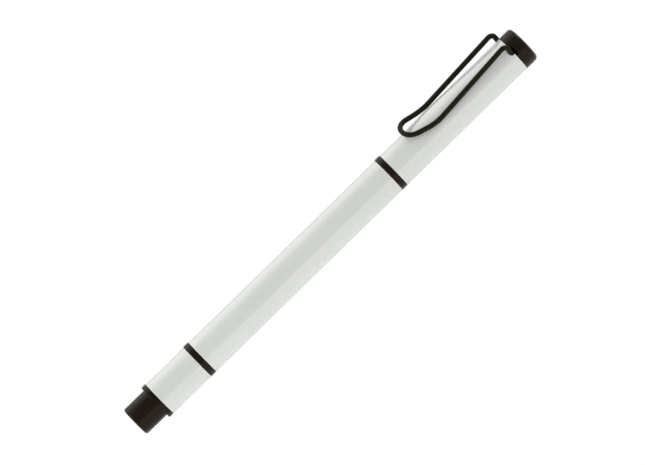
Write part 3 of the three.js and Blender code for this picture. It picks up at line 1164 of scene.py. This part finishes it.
def bent_wire_tree():
    """A round wire along a line of corners, each bent to the radius that its point holds."""
    tree = bpy.data.node_groups.new("bent wire", "GeometryNodeTree")
    new_socket(tree, "Geometry", "INPUT", "Geometry")
    new_socket(tree, "Wire radius", "INPUT", "Float")
    new_socket(tree, "Sides", "INPUT", "Int", 24)
    new_socket(tree, "Steps per bend", "INPUT", "Int", 16)
    new_socket(tree, "Material", "INPUT", "Material")
    new_socket(tree, "Geometry", "OUTPUT", "Geometry")
    given = tree.nodes.new("NodeGroupInput").outputs
    line = linked(tree, "GeometryNodeMeshToCurve", {"Mesh": given["Geometry"]})
    bend = linked(tree, "GeometryNodeInputNamedAttribute", {"Name": "bend"}, data_type="FLOAT")
    bent = linked(
        tree,
        "GeometryNodeFilletCurve",
        {
            "Curve": line.outputs["Curve"],
            "Count": given["Steps per bend"],
            "Radius": bend.outputs["Attribute"],
        },
        mode="POLY",
    )
    section = linked(
        tree,
        "GeometryNodeCurvePrimitiveCircle",
        {"Resolution": given["Sides"], "Radius": given["Wire radius"]},
    )
    wire = linked(
        tree,
        "GeometryNodeCurveToMesh",
        {
            "Curve": bent.outputs["Curve"],
            "Profile Curve": section.outputs["Curve"],
            "Fill Caps": True,
        },
    )
    real = linked(tree, "GeometryNodeRealizeInstances", {"Geometry": wire.outputs["Mesh"]})
    painted = linked(
        tree,
        "GeometryNodeSetMaterial",
        {"Geometry": real.outputs["Geometry"], "Material": given["Material"]},
    )
    linked(tree, "NodeGroupOutput", {"Geometry": painted.outputs["Geometry"]})
    return tree


black_wire = finish(
    "black wire coating",
    colour=(0.0052, 0.0045, 0.0019),
    marked_colour=(0.0090, 0.0076, 0.0038),
    roughness=0.38,
    marked_roughness=0.48,
    marks={"smudge_size": 500, "speck_size": 1500, "scratch_size": 500},
    grain={"flow_size": 1200, "grain_size": 7000, "grain_share": 0.6},
    grain_depth=0.012 * MM,
    Specular_IOR_Level=0.15,
    Specular_Tint=(1.0, 0.92, 0.58, 1),
)
clip_side = [
    (0, hook_half_gap, 0, 0),
    (0, clip_half_width, 0, hook_bend),
    (0, clip_half_width, clip_rise, shoulder_bend),
    (clip_toe - clip_length, dip_half_width, clip_dip, dip_bend),
    (-clip_length, loop_half_width, clip_tip, loop_bend),
]
clip_points = [(x, -y, z, bend) for x, y, z, bend in clip_side]
clip_points += list(reversed(clip_side))
clip_line = bpy.data.meshes.new("clip line")
clip_line.from_pydata(
    [(clip_pivot + x, y, axis_height + z) for x, y, z, _ in clip_points],
    [(i, i + 1) for i in range(len(clip_points) - 1)],
    [],
)
bend_values = clip_line.attributes.new("bend", "FLOAT", "POINT")
for datum, point in zip(bend_values.data, clip_points):
    datum.value = point[3]
clip_mesh = grown(
    "clip_wire",
    bent_wire_tree(),
    {"Wire radius": wire_radius, "Sides": 28, "Steps per bend": 18, "Material": black_wire},
    clip_line,
)
smooth(clip_mesh, crease=50)
fitted(placed("clip_wire", clip_mesh, black_wire), "clip", "black_wire", "clip_wire")


# ---------------------------------------------------------------------------------------------
# Tail cap. A short white tube, closed by a black plug whose collar stands flush with it and
# whose stepped stub takes the clip cap. The liner in it closes on the rear section's nose.
# ---------------------------------------------------------------------------------------------
tail_low, tail_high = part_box("tail_cap_tube")
tail_plug_low, tail_plug_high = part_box("tail_plug")
liner_low, liner_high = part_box("tail_cap_liner")
collar_start = tail_low.x - 1.5 * MM
collar_end = tail_low.x - seat_gap
tail_plug_floor = tail_plug_low.x + 1.4 * MM
tail_plug_bore = 3.6 * MM
liner_radius = 3.5 * MM
liner_bore = 3.0 * MM
liner_floor = liner_low.x + 0.8 * MM

turned(
    "tail_cap_tube",
    tube_corners(tail_low.x, tail_high.x, bore_radius, pen_radius, rim),
    white_lacquer,
    "tail_cap",
    "white_shell",
)
turned(
    "tail_plug",
    [
        (tail_plug_low.x, 0),
        (tail_plug_low.x, fit_radius, 0.65 * MM),
        (collar_start, fit_radius, 0.08 * MM),
        (collar_start, pen_radius, 0.2 * MM),
        (collar_end, pen_radius, rim),
        (collar_end, fit_radius),
        (tail_plug_high.x, fit_radius, 0.3 * MM),
        (tail_plug_high.x, tail_plug_bore, 0.1 * MM),
        (tail_plug_floor, tail_plug_bore, 0.3 * MM),
        (tail_plug_floor, 0),
    ],
    black_plastic,
    "tail_cap",
    "black_shell",
    closed=False,
)
turned(
    "tail_cap_liner",
    [
        (liner_low.x, 0),
        (liner_low.x, liner_radius, 0.3 * MM),
        (liner_high.x, liner_radius, 0.1 * MM),
        (liner_high.x, liner_bore, 0.1 * MM),
        (liner_floor, liner_bore, 0.3 * MM),
        (liner_floor, 0),
    ],
    natural_plastic,
    "tail_cap",
    "natural_plastic",
    closed=False,
)


# ---------------------------------------------------------------------------------------------
# Studio. A plain pale sheet under the pen, lit by long strips in front and behind, which the
# white tubes mirror, and by three lamps beyond its two ends. A long lens looks on.
# ---------------------------------------------------------------------------------------------
floor_half = 2.0
floor_mesh = bpy.data.meshes.new("floor")
floor_mesh.from_pydata(
    [
        (-floor_half, -floor_half, 0),
        (floor_half, -floor_half, 0),
        (floor_half, floor_half, 0),
        (-floor_half, floor_half, 0),
    ],
    [],
    [(0, 1, 2, 3)],
)
paper = bpy.data.materials.new("pale paper")
paper.use_nodes = True
paper_nodes, paper_links = paper.node_tree.nodes, paper.node_tree.links
paper_shader = paper_nodes["Principled BSDF"]
paper_shader.inputs["Roughness"].default_value = 0.9
paper_shader.inputs["Specular IOR Level"].default_value = 0
paper_shader.inputs["Emission Color"].default_value = (1, 1, 1, 1)
paper_view = paper_nodes.new("ShaderNodeLightPath")
paper_white = paper_nodes.new("ShaderNodeMapRange")
paper_white.inputs["To Min"].default_value = 0.93
paper_white.inputs["To Max"].default_value = 0
paper_glow = paper_nodes.new("ShaderNodeMapRange")
paper_glow.inputs["To Min"].default_value = 0.31
paper_glow.inputs["To Max"].default_value = 1.02
paper_links.new(paper_view.outputs["Is Camera Ray"], paper_white.inputs["Value"])
paper_links.new(paper_view.outputs["Is Camera Ray"], paper_glow.inputs["Value"])
paper_links.new(paper_white.outputs["Result"], paper_shader.inputs["Base Color"])
paper_links.new(paper_glow.outputs["Result"], paper_shader.inputs["Emission Strength"])
floor = placed("floor", floor_mesh, paper)

world = bpy.data.worlds.new("studio")
world.use_nodes = True
world.node_tree.nodes["Background"].inputs["Color"].default_value = (1, 1, 1, 1)
world.node_tree.nodes["Background"].inputs["Strength"].default_value = 0.63
bpy.context.scene.world = world


def soft_light(name, elevation, aside, distance, width, height, watts):
    """A lamp at an elevation in degrees about the pen's axis, from the front, turned to the pen."""
    lamp = bpy.data.lights.new(name, "AREA")
    lamp.shape = "RECTANGLE"
    lamp.size = width
    lamp.size_y = height
    lamp.energy = watts
    angle = math.radians(elevation)
    pen_middle = Vector((0, 0, axis_height))
    holder = bpy.data.objects.new(name, lamp)
    holder.location = pen_middle + distance * Vector((0, -math.cos(angle), math.sin(angle)))
    holder.location.x = aside
    holder.rotation_mode = "QUATERNION"
    holder.rotation_quaternion = (pen_middle - holder.location).to_track_quat("-Z", "Y")
    bpy.context.collection.objects.link(holder)


for name, elevation, watts in (
    ("front strip, low", 3.3, 0.29),
    ("front strip, middle", 9.8, 0.28),
    ("front strip, high", 16.3, 0.13),
):
    soft_light(name, elevation, aside=0, distance=0.9, width=1.0, height=0.1025, watts=watts)
for name, elevation, watts in (
    ("back strip, overhead", 110, 0.17),
    ("back strip, high", 122, 0.44),
    ("back strip, middle", 134, 0.52),
    ("back strip, low", 146, 0.51),
    ("back strip, lowest", 158, 0.57),
):
    soft_light(name, elevation, aside=0, distance=0.9, width=0.9, height=0.19, watts=watts)
for name, elevation, aside, distance, width, height, watts in (
    ("front lamp, tail side", 25, -0.4, 0.5, 0.3, 0.2, 0.19),
    ("top lamp, tail side", 95, -0.4, 0.5, 0.3, 0.25, 0.82),
    ("back lamp, crown side", 130, 1.0, 0.6, 0.5, 0.35, 1.9),
):
    soft_light(name, elevation, aside, distance, width, height, watts)

pen_tail = Vector((cad_box[0].x, 0, axis_height))
along = Vector((1, 0, 0))
camera_lean = math.radians(-0.9)
camera_height = math.radians(42)
to_camera = Vector(
    (
        math.sin(camera_lean),
        -math.cos(camera_lean) * math.cos(camera_height),
        math.cos(camera_lean) * math.sin(camera_height),
    )
)
along_seen = (along - to_camera * along.dot(to_camera)).normalized()
across_seen = to_camera.cross(along_seen)
pen_slope = math.radians(44.3)
right = along_seen * math.cos(pen_slope) - across_seen * math.sin(pen_slope)
up = along_seen * math.sin(pen_slope) + across_seen * math.cos(pen_slope)
aim_along = 71.2 * MM
aim_across = 1.3 * MM
aim = pen_tail + along * aim_along + across_seen * aim_across
camera_distance = 1.6
view_width = 172.2 * MM

lens = bpy.data.cameras.new("camera")
lens.sensor_width = 36
lens.lens = lens.sensor_width * camera_distance / view_width
lens.clip_end = 20
camera = bpy.data.objects.new("camera", lens)
bpy.context.collection.objects.link(camera)
camera.matrix_world = Matrix(
    (
        (right.x, up.x, to_camera.x, aim.x + to_camera.x * camera_distance),
        (right.y, up.y, to_camera.y, aim.y + to_camera.y * camera_distance),
        (right.z, up.z, to_camera.z, aim.z + to_camera.z * camera_distance),
        (0, 0, 0, 1),
    )
)
bpy.context.scene.camera = camera
bpy.context.scene.view_settings.view_transform = "Standard"
